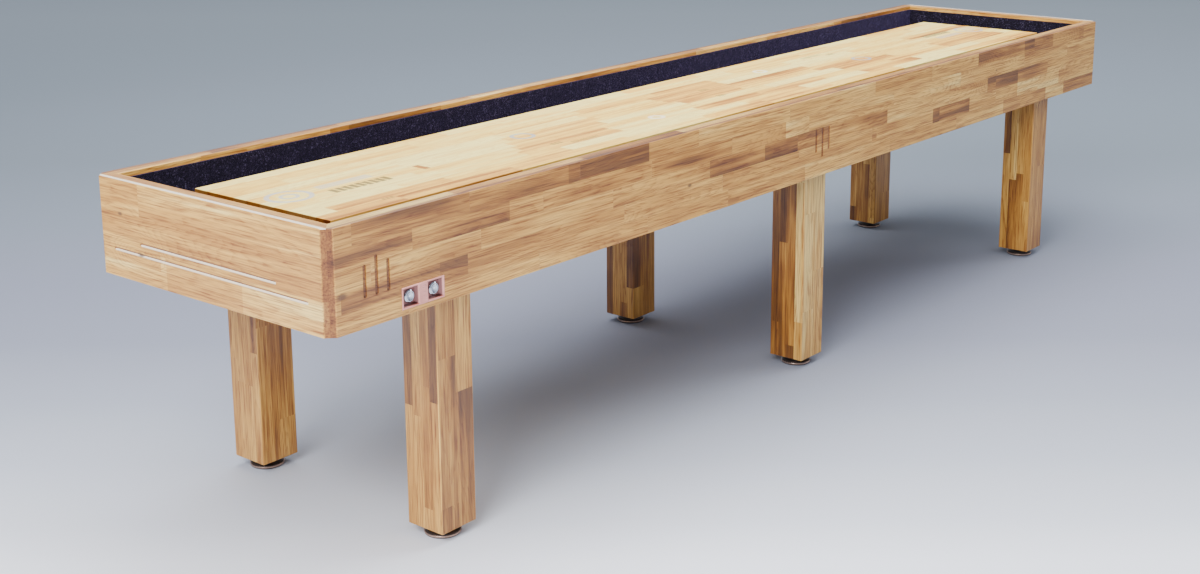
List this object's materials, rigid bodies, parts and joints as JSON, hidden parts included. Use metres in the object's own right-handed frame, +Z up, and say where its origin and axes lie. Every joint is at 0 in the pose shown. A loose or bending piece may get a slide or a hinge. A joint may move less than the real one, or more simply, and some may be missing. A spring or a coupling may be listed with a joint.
{
  "type": "shuffleboard table",
  "caption": "Long table-top game cabinet on square legs: raised butcher-block playfield, carpeted gutters, two score buttons and screw levelling feet.",
  "frame": {"origin": "on the floor under the middle of the table", "axes": "+X along the table from the end by the score buttons to the far end, +Y from the front side with the score buttons to the back side, +Z up"},
  "size_m": [3.66, 0.785, 0.8],
  "materials": {
    "oak_boards": "satin lacquer",
    "oak_legs": "satin lacquer",
    "maple": "gloss lacquer",
    "frame_timber": "planed",
    "plywood": "sanded",
    "carpet": "short pile",
    "zinc_steel": "zinc plated",
    "rose_metal": "rose metallic",
    "chrome": "polished",
    "button_lens": "clear moulded",
    "black_plastic": "moulded",
    "foot_rubber": "moulded, satin"
  },
  "bodies": {
    "table": {"front_rail": "oak_boards", "back_rail": "oak_boards", "near_end_board": "oak_boards", "far_end_board": "oak_boards", "corner_blocks": "frame_timber", "near_bearer": "frame_timber", "mid_bearer": "frame_timber", "far_bearer": "frame_timber", "steel_angles": "zinc_steel", "wood_screws": "zinc_steel", "gutter_ledgers": "frame_timber", "front_gutter_floor": "plywood", "back_gutter_floor": "plywood", "near_gutter_floor": "plywood", "far_gutter_floor": "plywood", "front_stringer": "frame_timber", "back_stringer": "frame_timber", "cradle_ribs": "frame_timber", "playfield": "maple", "adjuster_plates": "zinc_steel", "adjuster_rods": "zinc_steel", "adjuster_nuts": "zinc_steel", "front_gutter_carpet": "carpet", "back_gutter_carpet": "carpet", "near_gutter_carpet": "carpet", "far_gutter_carpet": "carpet", "leg_bolts": "zinc_steel", "leg_washers": "zinc_steel", "leg_nuts": "zinc_steel", "foot_inserts": "zinc_steel", "foot_locknuts": "zinc_steel", "button_plate": "rose_metal", "button_bodies": "chrome", "button_nuts": "zinc_steel", "button_spring_a": "zinc_steel", "button_spring_b": "zinc_steel", "button_switches": "black_plastic", "score_transmitter": "black_plastic", "front_leg_near": "oak_legs", "front_leg_mid": "oak_legs", "front_leg_far": "oak_legs", "back_leg_near": "oak_legs", "back_leg_mid": "oak_legs", "back_leg_far": "oak_legs"},
    "front_foot_near": {"front_foot_base_near": "foot_rubber"},
    "front_foot_screw_near": {"front_foot_stem_near": "zinc_steel"},
    "front_foot_mid": {"front_foot_base_mid": "foot_rubber"},
    "front_foot_screw_mid": {"front_foot_stem_mid": "zinc_steel"},
    "front_foot_far": {"front_foot_base_far": "foot_rubber"},
    "front_foot_screw_far": {"front_foot_stem_far": "zinc_steel"},
    "back_foot_near": {"back_foot_base_near": "foot_rubber"},
    "back_foot_screw_near": {"back_foot_stem_near": "zinc_steel"},
    "back_foot_mid": {"back_foot_base_mid": "foot_rubber"},
    "back_foot_screw_mid": {"back_foot_stem_mid": "zinc_steel"},
    "back_foot_far": {"back_foot_base_far": "foot_rubber"},
    "back_foot_screw_far": {"back_foot_stem_far": "zinc_steel"},
    "button_a": {"button_cap_a": "chrome", "button_lens_a": "button_lens"},
    "button_b": {"button_cap_b": "chrome", "button_lens_b": "button_lens"}
  },
  "joints": [
    {"name": "front_foot_near_height", "type": "slide", "parent": "table", "child": "front_foot_near", "axis": [0, 0, -1], "range_m": [0, 0.025]},
    {"name": "front_foot_near_screw", "type": "hinge", "parent": "front_foot_near", "child": "front_foot_screw_near", "pos_m": [-1.454, -0.3085, 0], "axis": [0, 0, -1], "range_deg": [-10, 5160]},
    {"name": "front_foot_mid_height", "type": "slide", "parent": "table", "child": "front_foot_mid", "axis": [0, 0, -1], "range_m": [0, 0.025]},
    {"name": "front_foot_mid_screw", "type": "hinge", "parent": "front_foot_mid", "child": "front_foot_screw_mid", "pos_m": [0, -0.3085, 0], "axis": [0, 0, -1], "range_deg": [-10, 5160]},
    {"name": "front_foot_far_height", "type": "slide", "parent": "table", "child": "front_foot_far", "axis": [0, 0, -1], "range_m": [0, 0.025]},
    {"name": "front_foot_far_screw", "type": "hinge", "parent": "front_foot_far", "child": "front_foot_screw_far", "pos_m": [1.454, -0.3085, 0], "axis": [0, 0, -1], "range_deg": [-10, 5160]},
    {"name": "back_foot_near_height", "type": "slide", "parent": "table", "child": "back_foot_near", "axis": [0, 0, -1], "range_m": [0, 0.025]},
    {"name": "back_foot_near_screw", "type": "hinge", "parent": "back_foot_near", "child": "back_foot_screw_near", "pos_m": [-1.454, 0.3085, 0], "axis": [0, 0, -1], "range_deg": [-10, 5160]},
    {"name": "back_foot_mid_height", "type": "slide", "parent": "table", "child": "back_foot_mid", "axis": [0, 0, -1], "range_m": [0, 0.025]},
    {"name": "back_foot_mid_screw", "type": "hinge", "parent": "back_foot_mid", "child": "back_foot_screw_mid", "pos_m": [0, 0.3085, 0], "axis": [0, 0, -1], "range_deg": [-10, 5160]},
    {"name": "back_foot_far_height", "type": "slide", "parent": "table", "child": "back_foot_far", "axis": [0, 0, -1], "range_m": [0, 0.025]},
    {"name": "back_foot_far_screw", "type": "hinge", "parent": "back_foot_far", "child": "back_foot_screw_far", "pos_m": [1.454, 0.3085, 0], "axis": [0, 0, -1], "range_deg": [-10, 5160]},
    {"name": "button_a_press", "type": "slide", "parent": "table", "child": "button_a", "axis": [0, 1, 0], "range_m": [0, 0.0025], "stiffness_N_per_m": 800, "springref_m": -0.002, "deforming": ["button_spring_a"]},
    {"name": "button_b_press", "type": "slide", "parent": "table", "child": "button_b", "axis": [0, 1, 0], "range_m": [0, 0.0025], "stiffness_N_per_m": 800, "springref_m": -0.002, "deforming": ["button_spring_b"]}
  ],
  "couplings": [
    {"joint": "front_foot_near_screw", "follows": "front_foot_near_height", "rad_per_m": 3590.4},
    {"joint": "front_foot_mid_screw", "follows": "front_foot_mid_height", "rad_per_m": 3590.4},
    {"joint": "front_foot_far_screw", "follows": "front_foot_far_height", "rad_per_m": 3590.4},
    {"joint": "back_foot_near_screw", "follows": "back_foot_near_height", "rad_per_m": 3590.4},
    {"joint": "back_foot_mid_screw", "follows": "back_foot_mid_height", "rad_per_m": 3590.4},
    {"joint": "back_foot_far_screw", "follows": "back_foot_far_height", "rad_per_m": 3590.4}
  ]
}
